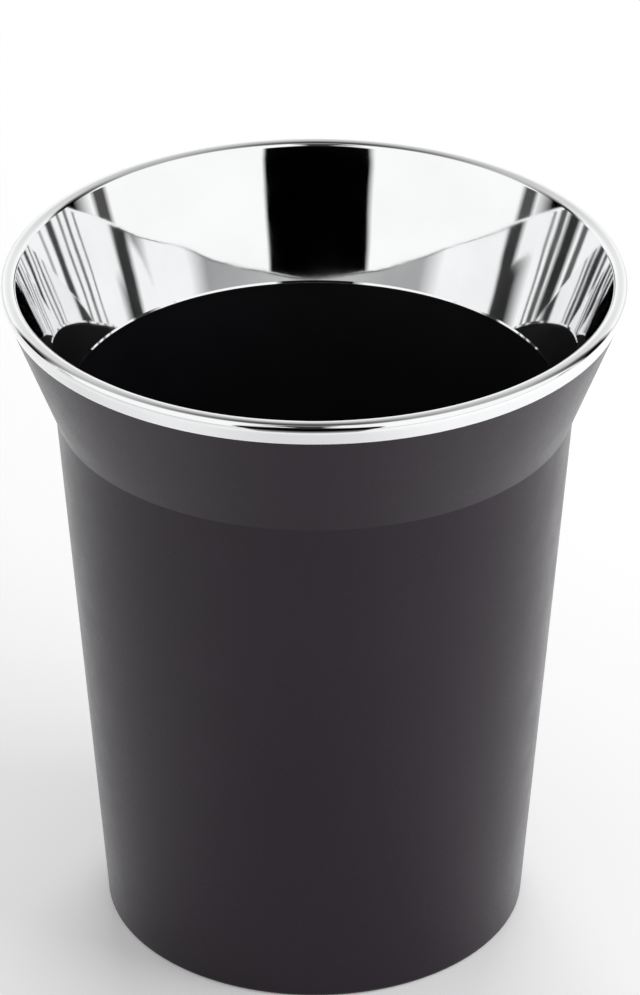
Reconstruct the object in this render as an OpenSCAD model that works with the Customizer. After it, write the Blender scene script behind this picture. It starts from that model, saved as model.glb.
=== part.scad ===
// Round table-top cutlery holder: a tapered black cup with a flared collar, and a bright funnel
// that drops into the collar and rests on the cup's edge by its rounded rim.
// Millimetres, +Z up, origin on the table under the middle of the cup.

/* [Overall] */
// Height from the table to the top of the rim
overall_height = 150; // [135:1:180]
// Diameter across the rim
rim_diameter = 130; // [124:1:140]

/* [Cup] */
// Diameter of the cup where its side would meet the table
base_diameter = 90.4; // [80:0.2:96]
// Height of the corner where the body turns out into the collar
collar_height = 120; // [100:1:125]
// Diameter of the cup at that corner
collar_diameter = 108.5; // [102:0.5:114]
// Rounding in the corner under the collar
collar_corner_radius = 0.8; // [0.4:0.1:2]
// Thickness of the cup's side, measured square to it
cup_wall = 1.8; // [1.4:0.1:2.6]
// Rounding of the edges that carry the rim
lip_radius = 0.25; // [0.1:0.05:0.5]
// Thickness of the floor
floor_thickness = 2.2; // [1.5:0.1:4]
// Rounding inside, between the side and the floor
floor_fillet = 5; // [2:0.5:8]

/* [Foot ring] */
// Height of the hollow under the floor
foot_height = 2.5; // [2:0.1:4]
// Width of the ring that stands on the table
foot_width = 3; // [2.6:0.1:5]
// Lean of the ring's inner side, so that the moulding leaves its tool
foot_draft = 8; // [2:1:15]
// Rounding of the ring's edges at the table
foot_edge_radius = 1; // [0.3:0.1:1.2]
// Rounding between the ring's inner side and the floor
foot_fillet = 0.8; // [0.3:0.1:1]

/* [Funnel insert] */
// Thickness of the funnel's cone, measured square to it
insert_wall = 1.2; // [0.9:0.1:2]
// Gap between the cone and the collar that it lines, measured square to them
insert_gap = 0.25; // [0.15:0.05:0.5]
// Height of the rim that shows above the cup's edge
rim_height = 4.8; // [3.8:0.1:8]
// Depth of the funnel, from the top of the rim to its lower edge
funnel_depth = 28.8; // [18:0.2:29.4]

/* [Hidden] */
$fn = 128;

// Furthest that the straight steps of an arc may lie from the true arc
arc_sag = 0.01;

// The side of the body leans out from the base to the corner under the collar
base_radius = base_diameter / 2;
collar_radius = collar_diameter / 2;
body_lean = atan2(collar_radius - base_radius, collar_height);

// The rim is as thick as the collar, the gap and the cone together, and its top is a full round
rim_thickness = cup_wall + insert_gap + insert_wall;
rim_round = rim_thickness / 2;
rim_centre = [rim_diameter / 2 - rim_round, overall_height - rim_round];

// The collar leans out from its corner so that its outside just touches the rim's round
rim_reach = rim_centre - [collar_radius, collar_height];
collar_lean = atan2(rim_reach.x, rim_reach.y) + asin(rim_round / norm(rim_reach));

// Heights of the edge that carries the rim, and of the floor's upper face
seat_height = overall_height - rim_height;
floor_top = foot_height + floor_thickness;

// Length of the cone from the rim's centre to the centre of its rounded lower edge
funnel_round = insert_wall / 2;
cone_length = (
    funnel_depth - rim_round - funnel_round + (rim_round - funnel_round) * sin(collar_lean)
) / cos(collar_lean);

// Radius at a height, for a surface a given depth under the outside of the body or of the collar
function body_at(height, depth = 0) =
    base_radius + height * tan(body_lean) - depth / cos(body_lean);
function collar_at(height, depth = 0) =
    collar_radius + (height - collar_height) * tan(collar_lean) - depth / cos(collar_lean);

// Height at which the inner faces of the body and of the collar meet
inner_corner_height = collar_height
    + cup_wall * (1 / cos(collar_lean) - 1 / cos(body_lean)) / (tan(collar_lean) - tan(body_lean));

// Points along the arc that rounds a corner between its two neighbours
function unit(v) = v / norm(v);
function turned(v, angle) =
    [v.x * cos(angle) - v.y * sin(angle), v.x * sin(angle) + v.y * cos(angle)];
function arc_points(before, corner, after, radius) =
    let (
        to_before = unit(before - corner),
        to_after = unit(after - corner),
        half_angle = acos(to_before * to_after) / 2,
        centre = corner + unit(to_before + to_after) * radius / sin(half_angle),
        start = corner + to_before * radius / tan(half_angle) - centre,
        turn = (180 - 2 * half_angle) * sign(cross(to_after, to_before)),
        steps = ceil(abs(turn) / (2 * acos(1 - arc_sag / radius)))
    )
    [for (i = [0 : steps]) centre + turned(start, turn * i / steps)];

// Outline through corners given as [radius, height, rounding], rounded where the rounding isn't 0
function rounded_outline(corners) =
    let (points = [for (c = corners) [c.x, c.y]], count = len(points))
    [
        for (i = [0 : count - 1])
            each corners[i].z == 0
                ? [points[i]]
                : arc_points(points[(i + count - 1) % count], points[i],
                    points[(i + 1) % count], corners[i].z)
    ];

// Places a section at the centre of the rim's round, with x down the collar's slope and y outwards
module down_the_collar() {
    translate(rim_centre)
        rotate(-90 - collar_lean)
            children();
}

// Black moulding: foot ring, floor, tapered body, collar and the flat edge that carries the rim
module cup() {
    foot_inner = base_radius - foot_width;
    color("#2f2d30")
        rotate_extrude()
            polygon(rounded_outline([
                [foot_inner, 0, foot_edge_radius],
                [base_radius, 0, foot_edge_radius],
                [collar_radius, collar_height, collar_corner_radius],
                [collar_at(seat_height), seat_height, lip_radius],
                [collar_at(seat_height, cup_wall), seat_height, lip_radius],
                [
                    body_at(inner_corner_height, cup_wall),
                    inner_corner_height,
                    collar_corner_radius + cup_wall
                ],
                [body_at(floor_top, cup_wall), floor_top, floor_fillet],
                [0, floor_top, 0],
                [0, foot_height, 0],
                [foot_inner - foot_height * tan(foot_draft), foot_height, foot_fillet]
            ]));
}

// Bright moulding: a cone that lines the collar, with a round-topped rim seated on the cup's edge
module funnel_insert() {
    color("#d8dadc")
        rotate_extrude()
            union() {
                difference() {
                    down_the_collar() {
                        circle(r = rim_round);
                        translate([0, -rim_round])
                            square([2 * rim_height, rim_thickness]);
                    }
                    square([rim_diameter, seat_height]);
                }
                down_the_collar() {
                    translate([0, -rim_round])
                        square([cone_length, insert_wall]);
                    translate([cone_length, funnel_round - rim_round])
                        circle(r = funnel_round);
                }
            }
}

cup();
funnel_insert();
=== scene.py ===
import math

import bmesh
import bpy
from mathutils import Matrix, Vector


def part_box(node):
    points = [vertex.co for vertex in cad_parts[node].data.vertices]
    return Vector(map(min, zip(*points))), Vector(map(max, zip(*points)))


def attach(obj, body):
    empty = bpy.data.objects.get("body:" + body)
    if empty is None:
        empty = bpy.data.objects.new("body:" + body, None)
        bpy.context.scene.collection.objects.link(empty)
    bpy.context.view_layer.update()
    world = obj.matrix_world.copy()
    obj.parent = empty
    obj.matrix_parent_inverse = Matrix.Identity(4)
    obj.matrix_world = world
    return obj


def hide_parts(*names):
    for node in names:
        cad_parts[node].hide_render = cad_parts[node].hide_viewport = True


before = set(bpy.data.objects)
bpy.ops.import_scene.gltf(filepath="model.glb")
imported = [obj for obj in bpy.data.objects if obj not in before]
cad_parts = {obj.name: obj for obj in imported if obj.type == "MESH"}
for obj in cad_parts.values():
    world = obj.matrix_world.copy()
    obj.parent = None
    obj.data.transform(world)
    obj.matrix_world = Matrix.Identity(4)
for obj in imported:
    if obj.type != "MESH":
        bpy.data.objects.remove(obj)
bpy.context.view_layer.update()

# The cup: one black moulding with a foot ring, a level floor, a slightly tapered body and a collar
# that turns out at a crisp corner and ends in a flat edge for the rim. It is injection moulded through
# a gate under the floor. Its tool leaves a fine satin grain outside and a duller finish inside. The
# inside is also painted a darker black than the outside, as painted shade in the cup's hollow.
MM = 0.001
cup_edge_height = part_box("cup")[1].z / MM
cup_wall = 1.8
cup_base_radius = 45.2
cup_corner_radius, cup_corner_height = 54.25, 120.0
cup_corner_round = 0.8
cup_lip_round = 0.06
cup_floor_under, cup_floor_top = 2.5, 4.7
cup_floor_fillet = 5.0
foot_inner_radius, foot_draft = 42.2, math.radians(8)
foot_edge_round, foot_fillet = 1.0, 0.8
gate_dish_radius, gate_dish_depth, gate_dish_round = 5.0, 0.6, 0.3
gate_mark_radius, gate_mark_height, gate_mark_round = 1.2, 0.35, 0.12

# The collar leans so that its outside just touches the round top of the insert's rim, which is as
# thick as the collar, the gap and the insert's cone together
insert_low, insert_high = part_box("funnel_insert")
rim_top, rim_radius = insert_high.z / MM, insert_high.x / MM
insert_wall, insert_gap = 1.2, 0.25
rim_thickness = cup_wall + insert_gap + insert_wall
rim_round = rim_thickness / 2
rim_centre = Vector((rim_radius - rim_round, rim_top - rim_round))
rim_reach = rim_centre - Vector((cup_corner_radius, cup_corner_height))
body_lean = math.atan2(cup_corner_radius - cup_base_radius, cup_corner_height)
collar_lean = math.atan2(rim_reach.x, rim_reach.y) + math.asin(rim_round / rim_reach.length)


def body_radius(height, depth=0.0):
    """Radius of the body at a height, so deep under its outside."""
    return cup_base_radius + height * math.tan(body_lean) - depth / math.cos(body_lean)


def collar_radius(height, depth=0.0):
    """Radius of the collar at a height, so deep under its outside."""
    rise = height - cup_corner_height
    return cup_corner_radius + rise * math.tan(collar_lean) - depth / math.cos(collar_lean)


def corner_arc(before, corner, after, rounding, arc_step=math.radians(7.5)):
    """Points along the arc that rounds a corner between its two neighbours."""
    to_before = (before - corner).normalized()
    to_after = (after - corner).normalized()
    half = to_before.angle(to_after) / 2
    centre = corner + (to_before + to_after).normalized() * rounding / math.sin(half)
    start = corner + to_before * rounding / math.tan(half) - centre
    side = 1 if to_after.cross(to_before) > 0 else -1
    turn = side * (math.pi - 2 * half)
    steps = max(2, math.ceil(abs(turn) / arc_step))
    arc = []
    for step in range(steps + 1):
        c, s = math.cos(turn * step / steps), math.sin(turn * step / steps)
        arc.append(centre + Vector((start.x * c - start.y * s, start.x * s + start.y * c)))
    return arc


def rounded_outline(corners, closed, longest=5.0):
    """A section in millimetres through (radius, height, rounding) corners, its long runs divided."""
    points = []
    for i, (radius, height, rounding) in enumerate(corners):
        corner = Vector((radius, height))
        if rounding == 0:
            points.append(corner)
        else:
            before = Vector(corners[i - 1][:2])
            after = Vector(corners[(i + 1) % len(corners)][:2])
            points += corner_arc(before, corner, after, rounding)
    outline = []
    for i, point in enumerate(points):
        outline.append(point)
        if i + 1 == len(points) and not closed:
            break
        after = points[(i + 1) % len(points)]
        pieces = math.ceil((after - point).length / longest)
        outline += [point.lerp(after, k / pieces) for k in range(1, pieces)]
    return outline


scene = bpy.context.scene


def turned_piece(name, outline, closed, steps=288, weld=1e-7):
    """A smooth solid of revolution about the holder's axis, from an outline in millimetres."""
    bm = bmesh.new()
    section = [bm.verts.new((p.x * MM, 0, p.y * MM)) for p in outline]
    pairs = list(zip(section, section[1:])) + ([(section[-1], section[0])] if closed else [])
    edges = [bm.edges.new(pair) for pair in pairs]
    bmesh.ops.spin(bm, geom=section + edges, cent=(0, 0, 0), axis=(0, 0, 1), angle=2 * math.pi,
                   steps=steps, use_merge=True)
    bmesh.ops.remove_doubles(bm, verts=bm.verts, dist=weld)
    bmesh.ops.recalc_face_normals(bm, faces=bm.faces)
    for face in bm.faces:
        face.smooth = True
    mesh = bpy.data.meshes.new(name)
    bm.to_mesh(mesh)
    bm.free()
    piece = bpy.data.objects.new(name, mesh)
    scene.collection.objects.link(piece)
    piece.modifiers.new("even_shading", "WEIGHTED_NORMAL")
    return piece


inner_corner_height = cup_corner_height + cup_wall * (
    1 / math.cos(collar_lean) - 1 / math.cos(body_lean)
) / (math.tan(collar_lean) - math.tan(body_lean))
dish_top = cup_floor_under + gate_dish_depth
cup = turned_piece("cup_shell", rounded_outline([
    (0, dish_top - gate_mark_height, 0),
    (gate_mark_radius, dish_top - gate_mark_height, gate_mark_round),
    (gate_mark_radius, dish_top, gate_mark_round),
    (gate_dish_radius, dish_top, gate_dish_round),
    (gate_dish_radius + gate_dish_depth, cup_floor_under, gate_dish_round),
    (foot_inner_radius - cup_floor_under * math.tan(foot_draft), cup_floor_under, foot_fillet),
    (foot_inner_radius, 0, foot_edge_round),
    (cup_base_radius, 0, foot_edge_round),
    (cup_corner_radius, cup_corner_height, cup_corner_round),
    (collar_radius(cup_edge_height), cup_edge_height, cup_lip_round),
    (collar_radius(cup_edge_height, cup_wall), cup_edge_height, cup_lip_round),
    (body_radius(inner_corner_height, cup_wall), inner_corner_height, cup_corner_round + cup_wall),
    (body_radius(cup_floor_top, cup_wall), cup_floor_top, cup_floor_fillet),
    (0, cup_floor_top, 0),
], closed=False), closed=False)


def speckle(tree, place, per_metre, detail):
    """A noise of that many patches per metre, as a socket."""
    noise = tree.nodes.new("ShaderNodeTexNoise")
    noise.inputs["Scale"].default_value = per_metre
    noise.inputs["Detail"].default_value = detail
    tree.links.new(place, noise.inputs["Vector"])
    return noise.outputs["Fac"]


def spread(tree, level, low, high, out_low=0, out_high=1):
    """The level from low to high, laid over out_low to out_high."""
    ranged = tree.nodes.new("ShaderNodeMapRange")
    limits = {"From Min": low, "From Max": high, "To Min": out_low, "To Max": out_high}
    for key, value in limits.items():
        ranged.inputs[key].default_value = value
    tree.links.new(level, ranged.inputs["Value"])
    return ranged.outputs["Result"]


def blended(tree, kind, level, first, second):
    """What goes from first to second as the level rises, where each is a value or a socket."""
    mix = tree.nodes.new("ShaderNodeMix")
    mix.data_type = kind
    tree.links.new(level, mix.inputs["Factor"])
    for key, end in (("A", first), ("B", second)):
        if isinstance(end, bpy.types.NodeSocket):
            tree.links.new(end, mix.inputs[key])
        else:
            mix.inputs[key].default_value = end
    return mix.outputs["Result"]


def relief(tree, height, depth, under=None):
    """A bump of that depth in metres, on top of another."""
    bump = tree.nodes.new("ShaderNodeBump")
    bump.inputs["Strength"].default_value = 1.0
    bump.inputs["Distance"].default_value = depth
    tree.links.new(height, bump.inputs["Height"])
    if under is not None:
        tree.links.new(under, bump.inputs["Normal"])
    return bump.outputs["Normal"]


plastic_index, plastic_gloss = 1.5, 0.36
side_blacks = (0.0080, 0.0010, 0.0095, 1), (0.0102, 0.0018, 0.0119, 1)
# The inside's black is darker than the outside's: painted shade for the hollow of the cup
inside_black_painted_shade = (0.0022, 0.0012, 0.0028, 1)
side_roughness, inside_roughness = (0.25, 0.31), (0.50, 0.58)
mottle_range, cloud_range = (0.35, 0.65), (0.3, 0.7)
grain_depth, flow_depth = 4e-6, 1.5e-5
black_plastic = bpy.data.materials.new("black_satin_plastic")
black_plastic.use_nodes = True
tree = black_plastic.node_tree
plastic = tree.nodes["Principled BSDF"]
plastic.inputs["IOR"].default_value = plastic_index
plastic.inputs["Specular IOR Level"].default_value = plastic_gloss
from_piece = tree.nodes.new("ShaderNodeTexCoord")
place = from_piece.outputs["Object"]
# The outside leans over, so it faces slightly down, and the inside faces up. Where it faces up the
# plastic is duller, and its colour is darkened as painted shade
inside_facing = -0.03, 0
facing = tree.nodes.new("ShaderNodeSeparateXYZ")
tree.links.new(from_piece.outputs["Normal"], facing.inputs["Vector"])
inside_duller_and_painted_dark = spread(tree, facing.outputs["Z"], *inside_facing)
mottle = spread(tree, speckle(tree, place, per_metre=45, detail=4), *mottle_range)
side_tone = blended(tree, "RGBA", mottle, *side_blacks)
# Faces turned up inside the cup take the darker black, as painted shade
tree.links.new(blended(tree, "RGBA", inside_duller_and_painted_dark, side_tone, inside_black_painted_shade), plastic.inputs["Base Color"])
cloud = speckle(tree, place, per_metre=130, detail=5)
side_finish = spread(tree, cloud, *cloud_range, *side_roughness)
inside_finish = spread(tree, cloud, *cloud_range, *inside_roughness)
tree.links.new(blended(tree, "FLOAT", inside_duller_and_painted_dark, side_finish, inside_finish), plastic.inputs["Roughness"])
grain = relief(tree, speckle(tree, place, per_metre=3200, detail=1), grain_depth)
flow = relief(tree, speckle(tree, place, per_metre=160, detail=2), flow_depth, under=grain)
tree.links.new(flow, plastic.inputs["Normal"])
cup.data.materials.append(black_plastic)
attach(cup, "cup")
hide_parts("cup")

# The funnel insert: a chrome-plated moulding, dropped into the collar and lifted out for washing. Its
# cone lines the collar, and its round-topped rim sits flat on the cup's edge and carries the collar's
# slope up without a step. The plating has built up into a fine raised edge at the cone's lower end.
insert_foot = insert_low.z / MM
band_edge_round, seat_corner_round = 0.05, 0.15
cone_end_outer_round, cone_end_inner_round, cone_end_thinning = 0.3, 0.06, 0.12
cone_bend_height, cone_bend_round = 134.0, 600.0
plating_edge_length, plating_edge_tilt, plating_edge_round = 0.55, math.radians(5), 0.4
down_slope = Vector((-math.sin(collar_lean), -math.cos(collar_lean)))
out_of_slope = Vector((math.cos(collar_lean), -math.sin(collar_lean)))


def on_slope(down, out):
    """The point so far down the collar's slope from the rim's centre, and so far out of it."""
    return rim_centre + down * down_slope + out * out_of_slope


def at_height(height, out):
    """The point at a height on the line so far out of the slope."""
    down = (on_slope(0, out).y - height) / math.cos(collar_lean)
    return on_slope(down, out)


cone_outer = insert_wall - rim_round
cone_inner = cone_end_thinning - rim_round
cone_bend = at_height(cone_bend_height, -rim_round)
cone_end = at_height(insert_foot, cone_inner)
plating_edge_start = cone_end + (cone_bend - cone_end).normalized() * plating_edge_length
plating_edge_rise = plating_edge_length * math.tan(plating_edge_tilt)
insert = turned_piece("funnel_insert_shell", rounded_outline([
    (*on_slope(-rim_round, -rim_round), rim_round),
    (*on_slope(-rim_round, rim_round), rim_round),
    (*at_height(cup_edge_height, rim_round), band_edge_round),
    (*at_height(cup_edge_height, cone_outer), seat_corner_round),
    (*at_height(insert_foot, cone_outer), cone_end_outer_round),
    (*at_height(insert_foot, cone_inner - plating_edge_rise), cone_end_inner_round),
    (*plating_edge_start, plating_edge_round),
    (*cone_bend, cone_bend_round),
], closed=True), closed=True)

chrome_tones = (0.925, 0.93, 0.935, 1), (0.955, 0.96, 0.965, 1)
haze_range, chrome_roughness = (0.35, 0.7), (0.02, 0.05)
peel_depth, ripple_depth = 1.2e-6, 5e-5
chrome_plating = bpy.data.materials.new("bright_chrome_plating")
chrome_plating.use_nodes = True
tree = chrome_plating.node_tree
chrome = tree.nodes["Principled BSDF"]
chrome.inputs["Metallic"].default_value = 1.0
place = tree.nodes.new("ShaderNodeTexCoord").outputs["Object"]
mottle = spread(tree, speckle(tree, place, per_metre=60, detail=3), *mottle_range)
tree.links.new(blended(tree, "RGBA", mottle, *chrome_tones), chrome.inputs["Base Color"])
haze = spread(tree, speckle(tree, place, per_metre=90, detail=6), *haze_range, *chrome_roughness)
tree.links.new(haze, chrome.inputs["Roughness"])
peel = relief(tree, speckle(tree, place, per_metre=420, detail=2), peel_depth)
ripple = relief(tree, speckle(tree, place, per_metre=55, detail=1), ripple_depth, under=peel)
tree.links.new(ripple, chrome.inputs["Normal"])
insert.data.materials.append(chrome_plating)
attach(insert, "insert")
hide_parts("funnel_insert")

# The table: a pale matt painted top that fills the picture from any side and takes the holder's
# shadow. Its slight glow shows only to the lens and in reflections.
table_half = 6.0
table_paint, table_roughness, table_glow = (0.86, 0.86, 0.865, 1), 0.9, 0.22


def staged(name, points, faces):
    """A mesh of the studio, which is no part of the holder."""
    mesh = bpy.data.meshes.new(name)
    mesh.from_pydata(points, [], faces)
    item = bpy.data.objects.new(name, mesh)
    scene.collection.objects.link(item)
    return item


def worked_out(tree, operation, first, second):
    """The result of a sum on a socket and on another socket or a number."""
    node = tree.nodes.new("ShaderNodeMath")
    node.operation = operation
    tree.links.new(first, node.inputs[0])
    if isinstance(second, bpy.types.NodeSocket):
        tree.links.new(second, node.inputs[1])
    else:
        node.inputs[1].default_value = second
    return node.outputs["Value"]


def shown(tree):
    """1 for what is seen straight, in a reflection or through glass, and 0 for light on its way."""
    ray = tree.nodes.new("ShaderNodeLightPath")
    seen = ray.outputs["Is Camera Ray"]
    for kind in ("Is Glossy Ray", "Is Transmission Ray"):
        seen = worked_out(tree, "MAXIMUM", seen, ray.outputs[kind])
    return seen


table_corners = [(x * table_half, y * table_half, 0) for x, y in ((-1, -1), (1, -1), (1, 1), (-1, 1))]
table = staged("table_top", table_corners, [(0, 1, 2, 3)])
table_white = bpy.data.materials.new("table_white")
table_white.use_nodes = True
tree = table_white.node_tree
paint = tree.nodes["Principled BSDF"]
paint.inputs["Base Color"].default_value = table_paint
paint.inputs["Roughness"].default_value = table_roughness
paint.inputs["Specular IOR Level"].default_value = 0.0
glow = tree.nodes.new("ShaderNodeEmission")
glow.inputs["Strength"].default_value = table_glow
glowing = tree.nodes.new("ShaderNodeAddShader")
tree.links.new(paint.outputs["BSDF"], glowing.inputs[0])
tree.links.new(glow.outputs["Emission"], glowing.inputs[1])
to_lens = tree.nodes.new("ShaderNodeMixShader")
tree.links.new(shown(tree), to_lens.inputs["Fac"])
tree.links.new(paint.outputs["BSDF"], to_lens.inputs[1])
tree.links.new(glowing.outputs["Shader"], to_lens.inputs[2])
tree.links.new(to_lens.outputs["Shader"], tree.nodes["Material Output"].inputs["Surface"])
table.data.materials.append(table_white)

# The surround: even white walls under a ceiling that is dimmer behind the holder, with a dark slit for
# the lens, a dark hoop overhead, low gaps at both sides and narrow seams. Only gloss shows the dark
# parts, and the seams only after two reflections.
gap_centre = Vector((0, 0, rim_top * MM))


def unlit(name, mirrored_twice=False):
    """Black where the veil is 0 and white where it is 1, or white all over until mirrored twice."""
    material = bpy.data.materials.new(name)
    material.use_nodes = True
    tree = material.node_tree
    tree.nodes.remove(tree.nodes["Principled BSDF"])
    veil = tree.nodes.new("ShaderNodeAttribute")
    veil.attribute_name = "veil"
    level = veil.outputs["Fac"]
    if mirrored_twice:
        mirrored = tree.nodes.new("ShaderNodeLightPath").outputs["Glossy Depth"]
        level = worked_out(tree, "MAXIMUM", level, worked_out(tree, "LESS_THAN", mirrored, 2))
    glow = tree.nodes.new("ShaderNodeEmission")
    tree.links.new(level, glow.inputs["Strength"])
    tree.links.new(glow.outputs["Emission"], tree.nodes["Material Output"].inputs["Surface"])
    return material


unlit_gap = unlit("unlit_gap")
unlit_seam = unlit("unlit_seam", mirrored_twice=True)


def dark_gap(name, stations, material=unlit_gap, across=4):
    """A gap in the white surround. Each station has its place, its four tones, and the four distances
    to the side at which it has them: where it starts to fade, is dark, starts to fade back and ends."""
    last = len(stations) - 1
    points, veils = [], []
    for k, (place, tones, edges) in enumerate(stations):
        along = stations[min(k + 1, last)][0] - stations[max(k - 1, 0)][0]
        sideways = along.cross(place - gap_centre).normalized()
        points += [place + sideways * edge for edge in edges]
        veils += tones
    faces = []
    for k in range(last):
        for corner in range(across * k, across * k + across - 1):
            faces.append((corner, corner + 1, corner + across + 1, corner + across))
    gap = staged(name, points, faces)
    gap.data.attributes.new("veil", "FLOAT", "POINT").data.foreach_set("value", veils)
    gap.data.materials.append(material)
    gap.visible_camera = gap.visible_diffuse = gap.visible_shadow = False


lens_gap_place = -0.28
dark_gap("lens_gap", [
    (Vector((0, lens_gap_place, height)), (1, tone, tone, 1), edges) for height, tone, edges in (
        (0.002, 0.60, (-0.100, -0.085, 0.065, 0.080)),
        (0.070, 0.26, (-0.108, -0.092, 0.072, 0.086)),
        (0.130, 0.04, (-0.118, -0.104, 0.082, 0.096)),
        (0.165, 0.00, (-0.134, -0.120, 0.098, 0.110)),
        (0.205, 0.00, (-0.138, -0.124, 0.106, 0.116)),
        (0.245, 0.00, (-0.136, -0.118, 0.104, 0.114)),
        (0.275, 0.01, (-0.134, -0.085, 0.070, 0.092)),
        (0.300, 0.02, (-0.134, -0.062, 0.026, 0.066)),
        (0.335, 0.03, (-0.136, -0.056, 0.014, 0.060)),
        (0.350, 0.04, (-0.052, -0.028, 0.012, 0.032)),
        (0.405, 0.04, (-0.056, -0.032, 0.012, 0.032)),
        (0.425, 0.05, (-0.136, -0.054, 0.012, 0.056)),
        (0.560, 0.06, (-0.130, -0.056, 0.016, 0.060)),
        (0.700, 0.07, (-0.130, -0.075, 0.040, 0.080)),
        (0.780, 1.00, (-0.130, -0.085, 0.050, 0.090)),
    )
])
hoop_reach, hoop_forward, hoop_back = 0.7, 0.17, 0.55
hoop_core, hoop_fade = 0.4, 1.1
ceiling_start, ceiling_full, ceiling_tone = 0.25, 0.85, 0.55


def hoop_station(turn, half, tone):
    """The hoop so many degrees right of overhead, its back edge faded into the tone of the ceiling."""
    a = math.radians(turn)
    way = Vector((math.sin(a), hoop_back * math.sin(a) ** 2 - hoop_forward, math.cos(a))).normalized()
    rise = (way.z - ceiling_start) / (ceiling_full - ceiling_start)
    overhead = min(max(rise, 0), 1)
    back_tone = 1 - overhead * (1 - ceiling_tone)
    back_edge = -half * (1 + hoop_fade * overhead)
    edges = (back_edge, -half * hoop_core, half * hoop_core, half)
    return gap_centre + hoop_reach * way, (back_tone, tone, tone, 1), edges


dark_gap("top_gap", [
    hoop_station(*station) for station in (
        (-100, 0.16, 1.0), (-92, 0.20, 0.0), (-80, 0.20, 0.0), (-70, 0.19, 0.15), (-56, 0.20, 0.45),
        (-42, 0.22, 0.50), (-35, 0.22, 0.38), (-28, 0.23, 0.26), (-20, 0.25, 0.16), (-10, 0.28, 0.08),
        (0, 0.27, 0.05), (10, 0.27, 0.13), (19, 0.25, 0.28), (30, 0.23, 0.42), (42, 0.22, 0.42),
        (52, 0.20, 0.22), (62, 0.19, 0.08), (75, 0.18, 0.0), (90, 0.17, 0.0), (98, 0.12, 1.0),
    )
])
seam_reach, seam_core = 0.7, 0.45


def towards(azimuth, climb):
    """The direction so many degrees round from the lens and so many up."""
    a, e = math.radians(azimuth), math.radians(climb)
    return Vector((math.sin(a) * math.cos(e), -math.cos(a) * math.cos(e), math.sin(e)))


for name, azimuth, half, core_tone, climbs, material in (
    ("side_gap_left", -92, 0.055, 0.08, (1.5, 3.0, 6.0, 8.0), unlit_gap),
    ("side_gap_right", 92, 0.055, 0.08, (1.5, 3.0, 6.0, 8.0), unlit_gap),
    ("seam_right_1", 70, 0.030, 0.45, (8.0, 10.0, 20.0, 22.0), unlit_seam),
    ("seam_right_2", 57, 0.060, 0.06, (12.0, 14.0, 24.0, 26.0), unlit_seam),
    ("seam_right_3", 45, 0.022, 0.25, (15.0, 17.0, 28.0, 30.0), unlit_seam),
    ("seam_right_4", 37, 0.026, 0.20, (18.0, 20.0, 30.0, 32.0), unlit_seam),
    ("seam_right_5", 29, 0.016, 0.35, (20.0, 22.0, 33.0, 35.0), unlit_seam),
    ("seam_left_1", -64, 0.060, 0.12, (9.0, 11.0, 21.0, 23.0), unlit_seam),
    ("seam_left_2", -49, 0.100, 0.03, (13.0, 15.0, 26.0, 28.0), unlit_seam),
    ("seam_left_3", -37, 0.045, 0.10, (17.0, 19.0, 29.0, 31.0), unlit_seam),
    ("seam_left_4", -29, 0.020, 0.30, (20.0, 22.0, 33.0, 35.0), unlit_seam),
):
    edges = (-half, -half * seam_core, half * seam_core, half)
    dark_gap(name, [
        (gap_centre + seam_reach * towards(azimuth, climb), (1, tone, tone, 1), edges)
        for climb, tone in zip(climbs, (1, core_tone, core_tone, 1))
    ], material)

white = (1, 1, 1, 1)
fill_level = 0.43
behind_start, behind_full = 0.1, 0.5
world = bpy.data.worlds.new("white_surround")
scene.world = world
world.use_nodes = True
tree = world.node_tree
soft_fill = tree.nodes["Background"]
soft_fill.inputs["Color"].default_value = white
soft_fill.inputs["Strength"].default_value = fill_level
white_walls = tree.nodes.new("ShaderNodeBackground")
white_walls.inputs["Color"].default_value = white
outlook = tree.nodes.new("ShaderNodeSeparateXYZ")
tree.links.new(tree.nodes.new("ShaderNodeTexCoord").outputs["Generated"], outlook.inputs["Vector"])
behind = spread(tree, outlook.outputs["Y"], behind_start, behind_full)
overhead = spread(tree, outlook.outputs["Z"], ceiling_start, ceiling_full)
wall_level = spread(tree, worked_out(tree, "MULTIPLY", behind, overhead), 0, 1, 1, ceiling_tone)
tree.links.new(wall_level, white_walls.inputs["Strength"])
walls = tree.nodes.new("ShaderNodeMixShader")
tree.links.new(shown(tree), walls.inputs["Fac"])
tree.links.new(soft_fill.outputs["Background"], walls.inputs[1])
tree.links.new(white_walls.outputs["Background"], walls.inputs[2])
tree.links.new(walls.outputs["Shader"], tree.nodes["World Output"].inputs["Surface"])


# The lamps: two square softboxes on stands, one high behind the holder and one at its right. They
# shape its shadow on the table, and stay out of its reflections.
def softbox(name, azimuth, climb, reach, size, power):
    """A lamp of that many watts, so far away and turned to the foot of the holder."""
    light = bpy.data.lights.new(name, "AREA")
    light.shape = "SQUARE"
    light.size = size
    light.energy = power
    lamp = bpy.data.objects.new(name, light)
    lamp.location = reach * towards(azimuth, climb)
    lamp.rotation_euler = lamp.location.to_track_quat("Z", "Y").to_euler()
    lamp.visible_glossy = False
    scene.collection.objects.link(lamp)


softbox("back_softbox", azimuth=175, climb=55, reach=1.5, size=0.7, power=7.1)
softbox("right_softbox", azimuth=75, climb=42, reach=1.2, size=0.8, power=5.2)

# The camera: a long lens a little over a metre away, looking down on the mouth of the holder by about
# thirty degrees, with the holder a hair left of the middle of the picture.
picture_long_side = 995
focal_pixels = 5625.5
camera_back, camera_height = 1.0340, 0.6863
camera_tilt, camera_turn = 0.5182, 0.0011
lens = bpy.data.cameras.new("lens")
lens.sensor_width = 36.0
lens.lens = focal_pixels / picture_long_side * lens.sensor_width
camera = bpy.data.objects.new("camera", lens)
camera.location = (0.0, -camera_back, camera_height)
camera.rotation_euler = (math.pi / 2 - camera_tilt, 0.0, -camera_turn)
scene.collection.objects.link(camera)
scene.camera = camera
scene.view_settings.view_transform = "Standard"
